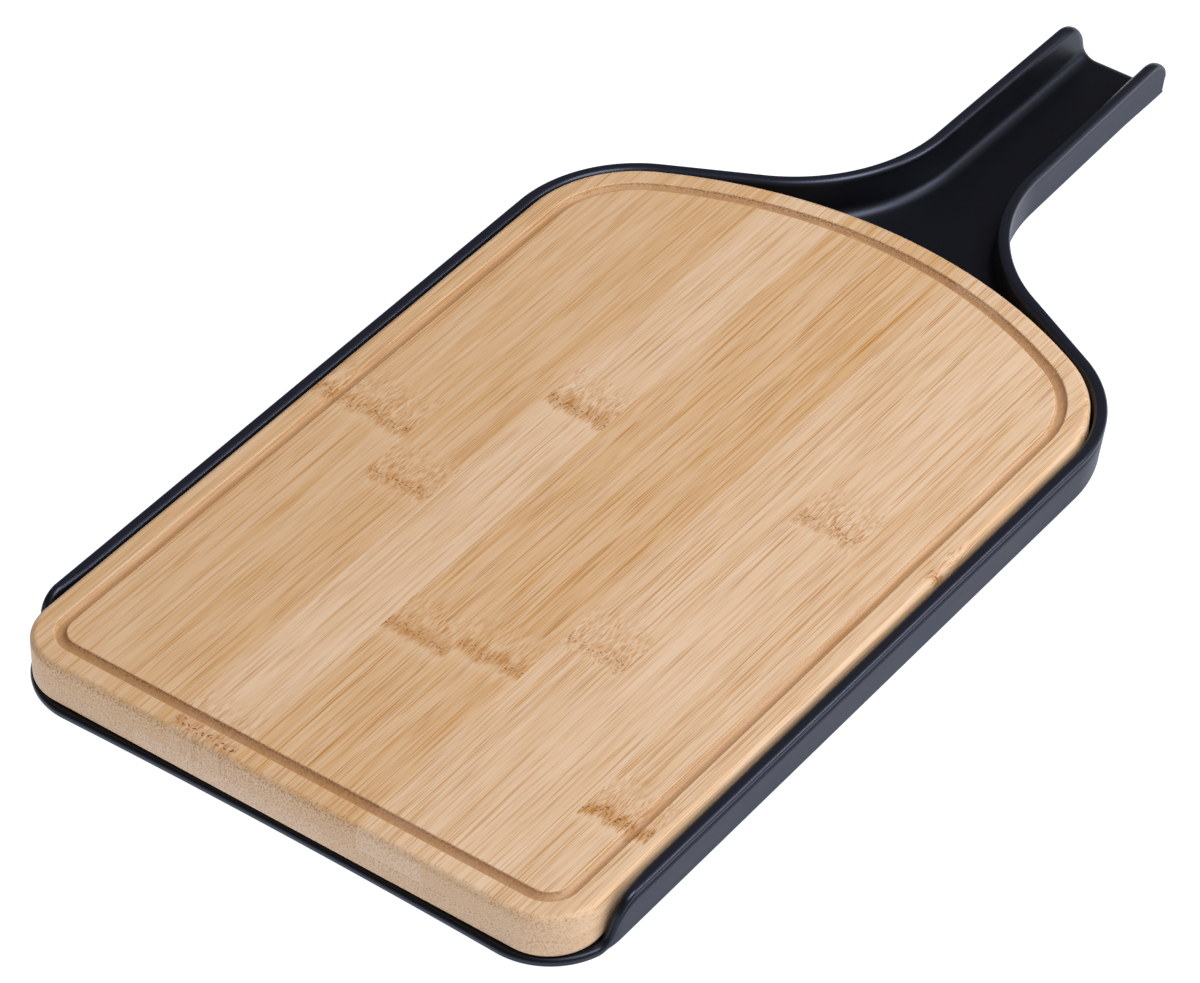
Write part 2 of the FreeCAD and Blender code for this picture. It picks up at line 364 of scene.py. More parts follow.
@dataclass(frozen=True)
class BambooBalance:
    """How strongly the parts of the pattern show.

    Depths are in millimetres under the strip's skin; the next pair holds the values at the two.
    The pairs that end in own or on_ends, fan_pale and band are a slope and what is added to it.
    """

    facing: Span = (0.45, 0.95)  # between these a face turns from a long one to end grain
    radius_depths: Span = (0.5, 6.5)
    radii: Span = (0.27, 0.17)  # of a bundle, in cells
    bundle_depths: Span = (1.5, 9.0)
    bundle_strengths: Span = (1.0, 0.6)
    bundle_own: Span = (0.7, 0.3)  # strength of one bundle, by its own number
    bundle_tone: float = 0.8
    bundle_on_ends: Span = (-0.7, 1.0)
    patch_strengths: Span = (0.2, 1.0)  # outside and inside a patch
    hair_tone: float = 0.54
    end_tone: float = 0.8
    pore_depths: Span = (1.0, 9.0)
    pore_strengths: Span = (0.95, 0.35)
    pore_own: Span = (0.6, 0.4)
    groove_shade_on_ends: Span = (0.15, 0.72)
    fan_pale: Span = (-0.22, 0.22)  # by the dashes, like the next two
    fan_dark: float = 0.5
    band: Span = (0.6, 0.5)
    mark_own: Span = (0.7, 0.3)
    bundle_relief: float = -0.4
    hair_relief: float = -0.1
    hair_roughness: float = 0.1


@dataclass(frozen=True)
class BambooTones:
    """Colours that every strip shares."""

    fibre: Colour = (0.5, 0.19, 0.015)
    hair: Colour = (0.4, 0.165, 0.035)
    pore: Colour = (0.43, 0.2, 0.06)
    # painted shade in the routed groove
    groove: Colour = (0.38, 0.19, 0.07)
    knot_pale: Colour = (0.78, 0.57, 0.38)
    fan_pale: Colour = (0.82, 0.62, 0.43)
    fan_dark: Colour = (0.5, 0.2, 0.045)
    band: Colour = (0.47, 0.2, 0.04)
    mark: Colour = (0.22, 0.075, 0.018)


@dataclass(frozen=True)
class GrooveZone:
    """Where the routed groove lies: inside these limits of the face, and below it.

    Each pair holds the two ends of a smooth change, in millimetres.
    """

    half_width: Span = (109.0, 110.0)
    front: Span = (5.0, 6.0)
    arch_centre: Span = (0.0, 160.0)
    arch_radius: Span = (187.0, 188.0)
    depth: Span = (0.8, 2.4)

    def mask(self, w: Wiring) -> Socket:
        """Marks where shade is painted in the groove, rising to full strength at its floor.

        Args:
            w: Wiring of the material.

        Returns:
            1 on the groove's floor and 0 elsewhere.
        """
        inside = w.fade(w.math("ABSOLUTE", w.x), *self.half_width)
        inside = w.times(inside, w.ease(w.y, *self.front))
        inside = w.times(inside, w.fade(w.distance(self.arch_centre), *self.arch_radius))
        return w.times(inside, w.ease(w.math("SUBTRACT", BOARD_TOP_Z, w.z), *self.depth))


@dataclass(frozen=True)
class BambooFinish:
    """Sanded bamboo of one strip, with its fibres running along y."""

    name: str
    seed: float
    ground: Colour
    tan: Colour
    end_grain: Colour
    knots: tuple[Knot, ...] = ()
    skin_z: float = BOARD_TOP_Z
    streaks: float = 1.0
    pores: float = 1.0
    grain: BambooGrain = BambooGrain()
    balance: BambooBalance = BambooBalance()
    tones: BambooTones = BambooTones()
    zones: KnotZones = KnotZones()
    groove: GrooveZone = GrooveZone()
    roughness: float = 0.47
    gloss: float = 0.3
    relief_depth: float = 0.000008

    def make(self) -> bpy.types.Material:
        """Wires the strip's material.

        Returns:
            The material.
        """
        material = bpy.data.materials.new(self.name)
        w = Wiring(material, self.seed * SEED_STEP)
        balance = self.balance
        depth = w.math("SUBTRACT", self.skin_z, w.z)
        facing = w.split(w.node("TexCoord", {}).outputs["Normal"])[1]
        ends = w.ease(w.math("ABSOLUTE", facing), *balance.facing)
        knots = self.knot_masks(w)
        fibres = self.fibres(w, depth, knots.fan)

        colour = self.streaked(w, fibres, ends, knots.fan)
        colour = w.blend(self.end_pores(w, depth, ends), colour, self.tones.pore)
        colour = self.knotted(w, knots, fibres.lean, colour)
        # Painted shade: the groove darkens towards its floor, more strongly on end grain.
        groove = w.times(self.groove.mask(w), w.linear(ends, *balance.groove_shade_on_ends))
        colour = w.blend(groove, colour, self.tones.groove)
        relief = w.times(fibres.hair, balance.hair_relief)
        relief = w.linear(fibres.bundle, balance.bundle_relief, relief)
        rough = w.linear(fibres.hair, balance.hair_roughness, self.roughness)
        w.finish(colour, rough, relief, self.relief_depth, {"Specular IOR Level": self.gloss})
        return material

    def knot_masks(self, w: Wiring) -> KnotMasks:
        """Adds up what the strip's knots do at a point.

        A knot's line swings as it crosses the grain. Its row of dark marks lies on the line, the
        edge of its dark band is torn fibre by fibre, and its fan of short fibres reaches back.

        Args:
            w: Wiring of the material.

        Returns:
            The masks of the knots' parts.
        """
        wave, comb = self.grain.wave, self.grain.comb
        line_y = w.linear(w.noise(w.point, wave), wave.reach, w.y)
        tear = w.linear(w.noise(w.point, comb), comb.reach, -comb.reach / 2)
        row = band = fan = pale = 0.0
        for knot in self.knots:
            away = w.math("SUBTRACT", line_y, knot.y + wave.reach / 2)
            torn = w.math("ADD", away, tear)
            row = w.linear(w.window(away, *self.zones.row), knot.dark, row)
            band = w.linear(w.window(torn, *self.zones.band), knot.band, band)
            fan = w.linear(w.window(away, *self.zones.fan), knot.fan, fan)
            pale = w.linear(w.window(away, *self.zones.pale), knot.band / 2, pale)
        return KnotMasks(line_y, row, band, fan, pale)

    def fibres(self, w: Wiring, depth: Socket, fan: Value) -> Fibres:
        """Lays the fibres.

        The bundles are lines along y through a scatter of dots across the grain. They drift
        slowly in depth, so the face cuts them into long streaks, and the end shows them as dots.
        Beside a knot they drift fast, which chops them into a fan of short dashes. They are
        thicker and darker near the strip's skin.

        Args:
            w: Wiring of the material.
            depth: The point's depth under the strip's skin.
            fan: Strength of the knots' fans.

        Returns:
            The fibres at the point.
        """
        grain, balance, point = self.grain, self.balance, w.point
        x = w.linear(w.noise(point, grain.sway), grain.sway.reach, w.x)
        z = w.linear(w.noise(point, grain.rise), grain.rise.reach, w.z)
        flick = w.times(w.noise(point, grain.flick), grain.flick.reach)
        z = w.math("ADD", z, w.times(w.times(fan, fan), flick))
        lean = w.noise(point, grain.lean)
        x = w.math("ADD", x, w.times(fan, w.linear(lean, grain.lean.reach, -grain.lean.reach / 2)))

        gap, own = w.dots(w.vector(x, z, 0.0), grain.bundle)
        radius = w.ease(depth, *balance.radius_depths, *balance.radii)
        bundle = w.ease(w.math("SUBTRACT", radius, gap), *grain.bundle.limits)
        bundle = w.times(bundle, w.linear(own, *balance.bundle_own))
        bundle = w.times(bundle, w.ease(depth, *balance.bundle_depths, *balance.bundle_strengths))
        patch = w.ease(w.noise(point, grain.patch), *grain.patch.limits, *balance.patch_strengths)
        hair = w.ease(w.noise(w.vector(x, w.y, w.z), grain.hair), *grain.hair.limits)
        tone = w.ease(w.noise(w.vector(x, w.y, z), grain.tone), *grain.tone.limits)
        return Fibres(bundle, patch, hair, tone, lean)

    def streaked(self, w: Wiring, fibres: Fibres, ends: Socket, fan: Value) -> Socket:
        """Colours the ground, the bundles and the hairs.

        Args:
            w: Wiring of the material.
            fibres: The fibres at the point.
            ends: 1 on end grain and 0 on the other faces.
            fan: Strength of the knots' fans, in which all bundles show.

        Returns:
            The colour.
        """
        balance = self.balance
        colour = w.blend(fibres.tone, self.ground, self.tan)
        colour = w.blend(w.times(ends, balance.end_tone), colour, self.end_grain)
        patch = w.math("MAXIMUM", fibres.patch, fan)
        streak = w.times(fibres.bundle, w.times(patch, balance.bundle_tone * self.streaks), clamp=True)
        streak = w.times(streak, w.linear(ends, *balance.bundle_on_ends))
        colour = w.blend(streak, colour, self.tones.fibre)
        return w.blend(w.times(fibres.hair, balance.hair_tone * self.streaks), colour, self.tones.hair)

    def end_pores(self, w: Wiring, depth: Socket, ends: Socket) -> Socket:
        """Marks the cut bundles on the end grain, which are densest near the skin.

        Args:
            w: Wiring of the material.
            depth: The point's depth under the strip's skin.
            ends: 1 on end grain and 0 on the other faces.

        Returns:
            Strength of the pores.
        """
        pore, balance = self.grain.pore, self.balance
        gap, own = w.dots(w.vector(w.x, w.z, 0.0), pore)
        pore = w.times(w.fade(gap, *pore.limits), w.linear(own, *balance.pore_own))
        strengths = (strength * self.pores for strength in balance.pore_strengths)
        dense = w.ease(depth, *balance.pore_depths, *strengths)
        return w.times(pore, w.times(ends, dense))

    def knotted(self, w: Wiring, knots: KnotMasks, lean: Socket, colour: Socket) -> Socket:
        """Colours the knots: a pale stretch, a fan of dashes, a dark band and a row of marks.

        Args:
            w: Wiring of the material.
            knots: Masks of the knots' parts.
            lean: How the fibres lean beside a knot.
            colour: Colour of the strip without them.

        Returns:
            The colour with the knots.
        """
        grain, balance, tones = self.grain, self.balance, self.tones
        colour = w.blend(knots.pale, colour, tones.knot_pale)
        aside = w.linear(lean, grain.dash.reach, -grain.dash.reach / 2)
        aside = w.math("ADD", w.x, w.times(knots.fan, aside))
        dash = w.ease(w.noise(w.vector(aside, w.y, w.z), grain.dash), *grain.dash.limits)
        colour = w.blend(w.times(knots.fan, w.linear(dash, *balance.fan_pale)), colour, tones.fan_pale)
        colour = w.blend(w.times(knots.fan, w.times(dash, balance.fan_dark)), colour, tones.fan_dark)
        colour = w.blend(w.times(knots.band, w.linear(dash, *balance.band)), colour, tones.band)
        bent = w.linear(w.noise(w.point, grain.bend), grain.bend.reach, w.x)
        gap, own = w.dots(w.vector(bent, knots.line_y, w.z), grain.mark)
        marks = w.fade(gap, *grain.mark.limits)
        strength = w.times(w.linear(own, *balance.mark_own), knots.row)
        return w.blend(w.times(marks, strength, clamp=True), colour, tones.mark)


@dataclass(frozen=True)
class MouldedPlasticFinish:
    """Matte black moulded plastic, with a fine spark texture, flow lines and a gate ring.

    The last heights are those of the inside. There, painted shade makes the floor deepest black, and a
    painted highlight makes the rim a little lighter; the rim is also smoother.
    inside is 0 for a finish that has none of these.
    """

    name: str
    colour: Colour = (0.0032, 0.0032, 0.004)
    tint: Colour = (0.68, 0.74, 1.0)
    roughness: float = 0.38
    gloss: float = 0.5
    inside: float = 1.0
    flow: Layer = Layer((2.2, 95.0, 9.0), 3.0, 2.0)
    cloud: Layer = Layer((14.0, 18.0, 14.0), 7.0, 2.0, limits=(0.35, 0.7))
    spark: Layer = Layer((0.24, 0.24, 0.24), 0.0, 1.0)
    dust: Layer = Layer((6.0, 6.0, 6.0), 11.0, limits=(0.015, 0.04))
    dust_own: Span = (0.5, 0.8)  # own number of a cell without a grain, and of one with it
    dust_strength: float = 0.6
    dust_tone: Colour = (0.12, 0.12, 0.14)
    # painted shade: the inside's colour deep down at the floor
    floor_tone: Colour = (0.0009, 0.0008, 0.001)
    # painted highlight: the inside's lighter colour at the rim
    rim_painted_highlight_tone: Colour = (0.0095, 0.01, 0.0155)
    lighter: float = 1.6
    unevenness: float = 0.08  # roughness that the clouds and the flow lines add
    rim_smoothness: float = -0.1
    relief_depth: float = 0.00003
    flow_relief: float = 0.7
    spark_relief: float = 0.35
    gate_relief: float = -1.6
    gate: Span = (0.0, 373.0)
    gate_ring: tuple[Span, Span] = ((3.6, 4.1), (4.3, 4.9))
    floor_shade_heights: Span = (5.0, 17.0)
    rim_highlight_heights: Span = (18.3, 19.6)
    smooth_heights: Span = (17.0, 19.0)

    def make(self) -> bpy.types.Material:
        """Wires the plastic's material.

        Returns:
            The material.
        """
        material = bpy.data.materials.new(self.name)
        w = Wiring(material)
        flow, cloud, spark = (w.noise(w.point, layer) for layer in (self.flow, self.cloud, self.spark))
        gap, own = w.dots(w.point, self.dust, "3D")
        dust = w.times(w.fade(gap, *self.dust.limits), w.ease(own, *self.dust_own))
        ring = w.window(w.distance(self.gate), *self.gate_ring)

        lighter = tuple(value * self.lighter for value in self.colour)
        colour = w.blend(w.ease(cloud, *self.cloud.limits), self.colour, lighter)
        # Painted shade: the inside darkens towards its floor.
        colour = w.blend(w.times(w.fade(w.z, *self.floor_shade_heights), self.inside), colour, self.floor_tone)
        # Painted highlight: the inside's rim is a little lighter.
        colour = w.blend(w.times(w.ease(w.z, *self.rim_highlight_heights), self.inside), colour, self.rim_painted_highlight_tone)
        colour = w.blend(w.times(dust, self.dust_strength), colour, self.dust_tone)
        rough = w.linear(cloud, self.unevenness, self.roughness - self.unevenness / 2)
        rough = w.linear(flow, self.unevenness, rough)
        smooth = w.ease(w.z, *self.smooth_heights)
        rough = w.linear(smooth, self.rim_smoothness * self.inside, rough)
        relief = w.linear(flow, self.flow_relief, w.times(spark, self.spark_relief))
        relief = w.linear(ring, self.gate_relief, relief)
        w.finish(colour, rough, relief, self.relief_depth,
                 {"Specular IOR Level": self.gloss, "Specular Tint": (*self.tint, 1.0)})
        return material


@dataclass(frozen=True)
class Steps:
    """Numbers of points on the stretches of the tray's outline, its section and its end face."""

    front: int = 40
    front_corner: int = 90
    side_drop: int = 60
    side: int = 60
    back_corner: int = 70
    shoulder: int = 12
    neck: int = 90
    handle: int = 50
    ear: int = 48
    inner_rounding: int = 6
    inner_wall: int = 16
    fillet: int = 12
    outer_rounding: int = 9
    outer_wall: int = 6
    underside: int = 12
    end_face: int = 40


@dataclass
class TrayMoulding:
    """The tray and its handle, one moulding. Sizes are in millimetres.

    A pair that ends in _span is where a size begins and ends to change, along y or in height.
    """

    half_width: float = 121.2
    floor: float = 3.6
    rim: float = 20.1
    rim_width: float = 4.8
    front_rim_width: float = 3.7
    rim_width_span: Span = (25.0, 45.0)
    rim_inner_rounding: float = 1.6
    neck_inner_rounding: float = 2.5
    inner_rounding_span: Span = (290.0, 345.0)
    inner_rounding_share: float = 0.45
    outer_rounding: float = 1.45
    outer_draft: float = 2.4
    inner_draft: float = 1.0
    underside_rounding: float = 3.4
    least_underside_rounding: float = 0.3
    least_outer_wall: float = 0.55
    fillet: float = 3.4
    neck_fillet: float = 4.8
    fillet_span: Span = (300.0, 350.0)
    ring_start: float = 0.5
    flat_ring: float = 1.4
    front_corner: float = 30.5
    front_corner_y: float = 26.5
    front_hollow: float = 3200.0
    dropped_side_y: float = 46.0
    back_corner: Span = (68.0, 289.2)
    back_radius: float = 53.2
    neck_centre_y: float = 412.8
    neck_radius: float = 66.4
    handle_half_width: float = 22.6
    taper: float = 1.0
    end: float = 502.7
    ear: float = 13.0
    end_rounding_length: float = 6.0
    end_rounding_loss: float = 0.62
    end_underside_length: float = 30.0
    end_underside_loss: float = 0.55
    lip_length: float = 4.2
    lip_depth: float = 2.4
    lip_loss: float = 0.75
    lip_angle_span: Span = (20.0, 88.0)
    lip_outer: float = 0.7
    lip_margin: float = 0.3
    drop_middle: float = 22.5
    drop_angle: float = 70.0
    drop_brow_radius: float = 10.0
    drop_foot_radius: float = 6.0
    seam_below_rim: float = 1.75
    seam_depth: float = 0.22
    seam_drops: tuple[float, ...] = (-0.26, -0.16, -0.08, 0.08, 0.18)
    seam_shares: tuple[float, ...] = (0.0, 0.1, 1.0, 1.0, 0.0)
    seam_height_span: Span = (7.0, 12.0)
    seam_span: Span = (250.0, 330.0)
    outside_below_seam: float = 0.19
    sideways_limit: float = 0.1
    downward_limit: float = -0.2
    steps: Steps = Steps()
    inside: MouldedPlasticFinish = MouldedPlasticFinish("satin_black_moulding_painted_shade_and_highlight")
    outside: MouldedPlasticFinish = MouldedPlasticFinish(
        "spark_black_moulding", (0.0038, 0.005, 0.0128), (0.5, 0.64, 1.0), 0.42, 0.22, 0.0)

    def outline(self) -> tuple[Array, Array]:
        """Right half of the rim's outline, from the middle of the front to the handle's end.

        Arcs and straight lines that touch smoothly: the hollow front edge, the front corner, the
        side, the back corner, the neck's hollow curve and the tapering handle.

        Returns:
            Points, and outward unit normals in the XY plane.
        """
        steps = self.steps
        corner = np.array([self.half_width - self.front_corner, self.front_corner_y])
        fall = math.sqrt((self.front_hollow + self.front_corner) ** 2 - corner[0] ** 2)
        join = math.degrees(math.atan2(fall, corner[0]))
        front, front_n = circle_points(
            (0.0, corner[1] - fall), self.front_hollow, np.linspace(90.0, join, steps.front))
        turn, turn_n = circle_points(
            corner, self.front_corner, np.linspace(join - 180.0, 0.0, steps.front_corner))
        side_y = np.concatenate([
            np.linspace(self.front_corner_y, self.dropped_side_y, steps.side_drop),
            np.linspace(self.dropped_side_y, self.back_corner[1], steps.side)])
        side = np.stack([np.full(side_y.size, self.half_width), side_y], axis=-1)
        side_n = np.tile([1.0, 0.0], (side_y.size, 1))

        neck = np.array([self.handle_half_width + self.neck_radius, self.neck_centre_y])
        across = neck - np.asarray(self.back_corner)
        bearing = math.degrees(math.atan2(across[1], across[0]))
        reach = self.back_radius + self.neck_radius
        shoulder = bearing - math.degrees(math.acos(reach / np.hypot(*across)))
        back, back_n = circle_points(
            self.back_corner, self.back_radius, np.linspace(0.0, shoulder, steps.back_corner))
        hollow, hollow_n = circle_points(
            neck, self.neck_radius, np.linspace(shoulder + 180.0, 180.0 + self.taper, steps.neck))
        slope = np.linspace(0.0, 1.0, steps.shoulder)[1:-1, None]
        shoulder_line = back[-1] + (hollow[0] - back[-1]) * slope
        start = hollow[-1]
        ear_from = self.end - self.ear
        ear_y = ear_from + self.ear * np.sin(np.linspace(0.0, QUARTER_TURN, steps.ear))
        handle_y = np.concatenate([np.linspace(start[1], ear_from, steps.handle)[:-1], ear_y])
        run = (handle_y - start[1])[:, None]
        handle = start + run * np.array([-math.tan(math.radians(self.taper)), 1.0])
        stretches = [
            (front, -front_n), (turn, turn_n), (side, side_n), (back, back_n),
            (shoulder_line, np.tile(back_n[-1], (len(shoulder_line), 1))),
            (hollow, -hollow_n), (handle, np.tile(-hollow_n[-1], (len(handle), 1))),
        ]
        points = np.concatenate([stretch[0] for stretch in stretches])
        normals = np.concatenate([stretch[1] for stretch in stretches])
        fresh = np.concatenate([[True], np.hypot(*np.diff(points, axis=0).T) > SLIVER_LENGTH])
        return points[fresh], normals[fresh]

    def wall_top(self, y: Array) -> Array:
        """Height of the wall's top at a place along the tray.

        At the front it is an S-curve: floor, hollow foot arc, steep straight, bulging arc, rim.
        At the handle's end it is a quarter circle down from the rim.

        Args:
            y: Places along the tray.

        Returns:
            Heights above the underside.
        """
        brow_radius, foot_radius = self.drop_brow_radius, self.drop_foot_radius
        lean = math.radians(self.drop_angle)
        half_rise = (self.rim - self.floor) / 2
        half_run = half_rise / math.tan(lean)
        foot, brow = self.drop_middle - half_run, self.drop_middle + half_run
        height = np.clip(self.floor + (y - foot) * math.tan(lean), self.floor, self.rim)
        reach = foot_radius * math.tan(lean / 2)
        low = foot_radius ** 2 - (y - foot + reach) ** 2
        on_foot = (y > foot - reach) & (y < foot + reach * math.cos(lean))
        height = np.where(on_foot, self.floor + foot_radius - np.sqrt(np.maximum(low, 0.0)), height)
        reach = brow_radius * math.tan(lean / 2)
        high = brow_radius ** 2 - (y - brow - reach) ** 2
        on_brow = (y > brow - reach * math.cos(lean)) & (y < brow + reach)
        height = np.where(on_brow, self.rim - brow_radius + np.sqrt(np.maximum(high, 0.0)), height)
        past = np.clip(y - (self.end - self.ear), 0.0, self.ear)
        return np.minimum(height, self.rim - self.ear + np.sqrt(self.ear ** 2 - past ** 2))

    def lip(self, y: Array, z: Array) -> Array:
        """How far the inside is flared outward near the handle's end.

        A quarter ellipse over the distance to the end's edge; it is deepest at the end face and
        dies away along the rounded ear towards the rim.

        Args:
            y: Places along the handle.
            z: Heights above the underside.

        Returns:
            Depth of the flare at each place.
        """
        ahead = np.maximum(y - (self.end - self.ear), 0.0)
        above = np.maximum(z - (self.rim - self.ear), 0.0)
        edge = self.ear - np.hypot(ahead, above)
        edge = np.where(above > 0.0, edge, self.end - y)
        toward_rim = np.degrees(np.arctan2(above, np.maximum(ahead, 1e-9)))
        share = 1.0 - self.lip_loss * smooth_step(*self.lip_angle_span, toward_rim)
        length = self.lip_length * share
        inward = np.clip(1.0 - edge / length, 0.0, 1.0)
        return self.lip_depth * share * (1.0 - np.sqrt(np.maximum(1.0 - inward ** 2, 0.0)))

    def inner_chain(self, points: Array, normals: Array) -> Array:
        """Inside of the wall: rim, inner rounding, wall, fillet and a flat ring of the floor.

        Args:
            points: Outline of the rim.
            normals: Its outward normals.

        Returns:
            Grid of points, one row for each place of the outline.
        """
        along, steps = points[:, 1], self.steps
        width = changing(self.front_rim_width, self.rim_width, self.rim_width_span, along)
        y_inner = along - normals[:, 1] * width
        top = self.wall_top(y_inner)[:, None]
        above_floor = top - self.floor
        rounding = changing(
            self.rim_inner_rounding, self.neck_inner_rounding, self.inner_rounding_span, along)[:, None]
        rounding = np.minimum(rounding, above_floor * self.inner_rounding_share)
        fillet = changing(self.fillet, self.neck_fillet, self.fillet_span, along)[:, None]
        fillet = np.minimum(fillet, np.maximum(above_floor - rounding, 0.0))
        slope = self.inner_draft / (self.rim - self.floor)

        def face(z: Array) -> Array:
            """Inner face's offset from the rim's outer edge at a height."""
            return -width[:, None] - slope * (self.rim - z)

        y_row = y_inner[:, None]
        turn = np.linspace(0.0, QUARTER_TURN, steps.inner_rounding)[None, :]
        arc_z = top - rounding + rounding * np.cos(turn)
        arc_u = face(top - rounding) + rounding * (1.0 - np.sin(turn))
        share = np.linspace(0.0, 1.0, steps.inner_wall)[None, 1:-1]
        wall_z = top - rounding + (self.floor + fillet - top + rounding) * share
        bend = np.linspace(0.0, QUARTER_TURN, steps.fillet)[None, :]
        centre_u = face(self.floor + fillet) - fillet
        lip_floor = self.lip(y_row, np.full_like(y_row, self.floor))
        lip_arc = self.lip(y_row, np.broadcast_to(top - rounding, arc_z.shape))
        foot_u = centre_u + (fillet + lip_floor) * np.cos(bend)
        foot_z = self.floor + fillet - (fillet + lip_floor) * np.sin(bend)
        ring_u = np.concatenate([centre_u - self.ring_start, centre_u - self.flat_ring], axis=1)
        ring_z = np.tile(self.floor - lip_floor, (1, 2))
        offsets = np.concatenate(
            [arc_u + lip_arc, face(wall_z) + self.lip(y_row, wall_z), foot_u, ring_u], axis=1)
        heights = np.concatenate([arc_z, wall_z, foot_z, ring_z], axis=1)
        return self.stations(points, normals, offsets, heights)

    def outer_chain(self, points: Array, normals: Array) -> Array:
        """Outside of the wall: rim rounding, parting line, wall, underside rounding, flat ring.

        Args:
            points: Outline of the rim.
            normals: Its outward normals.

        Returns:
            Grid of points, one row for each place of the outline.
        """
        along, steps = points[:, 1], self.steps
        top = self.wall_top(along)[:, None]
        tip = smooth_step(self.end - self.end_rounding_length, self.end, along)[:, None]
        rounding = self.outer_rounding * (1.0 - self.end_rounding_loss * tip)
        slope = self.outer_draft / self.rim
        near_end = np.clip((along - (self.end - self.lip_outer)) / self.lip_outer, 0.0, 1.0)[:, None]
        tuck = self.lip_outer * (1.0 - np.sqrt(1.0 - near_end ** 2))

        def face(z: Array) -> Array:
            """Outer face's offset from the rim's outer edge at a height."""
            return -slope * (self.rim - z)

        turn = np.linspace(0.0, QUARTER_TURN, steps.outer_rounding)[None, :]
        arc_z = top - rounding + rounding * np.cos(turn)
        arc_u = face(top - rounding) - rounding * (1.0 - np.sin(turn))
        depth = self.seam_depth * smooth_step(*self.seam_height_span, top) * (
            1.0 - smooth_step(*self.seam_span, along)[:, None])
        seam_z = top - self.seam_below_rim - np.array([self.seam_drops])
        seam_u = face(seam_z) - depth * np.array([self.seam_shares])
        tip = smooth_step(self.end - self.end_underside_length, self.end, along)[:, None]
        under = np.minimum(
            self.underside_rounding * (1.0 - self.end_underside_loss * tip),
            np.maximum(top - rounding - self.least_outer_wall, self.least_underside_rounding))
        seam_z = np.maximum(seam_z, under)
        share = np.linspace(0.0, 1.0, steps.outer_wall)[None, 1:]
        start_z = seam_z[:, -1:]
        wall_z = start_z + (under - start_z) * share
        bend = np.linspace(0.0, QUARTER_TURN, steps.underside)[None, 1:]
        centre_u = face(under) - under
        foot_u = centre_u + under * np.cos(bend)
        foot_z = np.maximum(under - under * np.sin(bend), tuck)
        ring_u = np.concatenate([centre_u - self.ring_start, centre_u - self.flat_ring], axis=1)
        ring_z = np.tile(tuck, (1, 2))
        offsets = np.concatenate([arc_u - tuck, seam_u - tuck, face(wall_z) - tuck, foot_u, ring_u], axis=1)
        heights = np.concatenate([arc_z, seam_z, wall_z, foot_z, ring_z], axis=1)
        return self.stations(points, normals, offsets, heights)

    @staticmethod
    def stations(points: Array, normals: Array, offsets: Array, heights: Array) -> Array:
        """Point plus normal times offset, at its height, for a whole grid at once."""
        plan = points[:, None, :] + normals[:, None, :] * offsets[..., None]
        return np.concatenate([plan, np.broadcast_to(heights, offsets.shape)[..., None]], axis=-1)

    @staticmethod
    def middle_faces(edge: Array, flat_rows: int, mirror: int) -> list[Face]:
        """Closes the floor or the underside between an edge and its mirror image.

        One large face covers the flat part, and a row of narrow ones follows the flare behind it.

        Args:
            edge: Numbers of the points along the edge, from the front.
            flat_rows: How many of them lie on the flat part.
            mirror: What is added to a number to get its mirror image.

        Returns:
            The faces.
        """
        ring, across = edge[:flat_rows + 1], edge[flat_rows:]
        flat = np.concatenate([ring, ring[:0:-1] + mirror])
        narrow = np.stack([across[:-1], across[1:], across[1:] + mirror, across[:-1] + mirror], axis=-1)
        return [flat.tolist(), *narrow.tolist()]

    def end_faces(self, end: Array, inner_count: int, mirror: int) -> list[Face]:
        """Closes the handle's end: a band between inside and outside, and a bar under the floor.

        Args:
            end: Numbers of the points of the last section, from the floor over the rim to below.
            inner_count: How many of them belong to the inside.
            mirror: What is added to a number to get its mirror image.

        Returns:
            The faces.
        """
        inside, outside = end[:inner_count][::-1], end[inner_count:]
        steps = np.linspace(0.0, 1.0, self.steps.end_face)
        first, second = (side[np.round(steps * (side.size - 1)).astype(int)] for side in (inside, outside))
        band = np.stack([first[:-1], first[1:], second[1:], second[:-1]], axis=-1)
        distinct = [list(dict.fromkeys(face)) for face in np.concatenate([band, band + mirror]).tolist()]
        bar = np.array([inside[-1], inside[-1] + mirror, outside[-1] + mirror, outside[-1]])
        return [face for face in distinct if len(face) > 2] + [bar.tolist()]

    def build(self) -> bpy.types.Object:
        """Builds the moulding from its two grids, their mirror images, the floor and the ends.

        Returns:
            The tray's mesh object.
        """
        points, normals = self.outline()
        inner = self.inner_chain(points, normals)
        outer = self.outer_chain(points, normals)
        right = np.concatenate([inner[:, ::-1], outer], axis=1)
        left = right * np.array([-1.0, 1.0, 1.0])
        vertices = np.concatenate([right.reshape(-1, 3), left.reshape(-1, 3)])
        rows, columns = right.shape[:2]
        count = rows * columns
        number = np.arange(count).reshape(rows, columns)
        corners = np.stack([number[:-1, :-1], number[1:, :-1], number[1:, 1:], number[:-1, 1:]], axis=-1)
        mirrored = corners[..., ::-1] + count
        faces = corners.reshape(-1, 4).tolist() + mirrored.reshape(-1, 4).tolist()
        flat_rows = int(np.argmax(points[:, 1] > self.end - self.lip_length - self.lip_margin))
        for column in (0, columns - 1):
            faces += self.middle_faces(number[:, column], flat_rows, count)
        faces += self.end_faces(number[-1], inner.shape[1], count)
        place = vertices * MM + np.array([0.0, FRONT_EDGE_Y * MM, 0.0])
        return mesh_object("tray_moulding", place, faces)

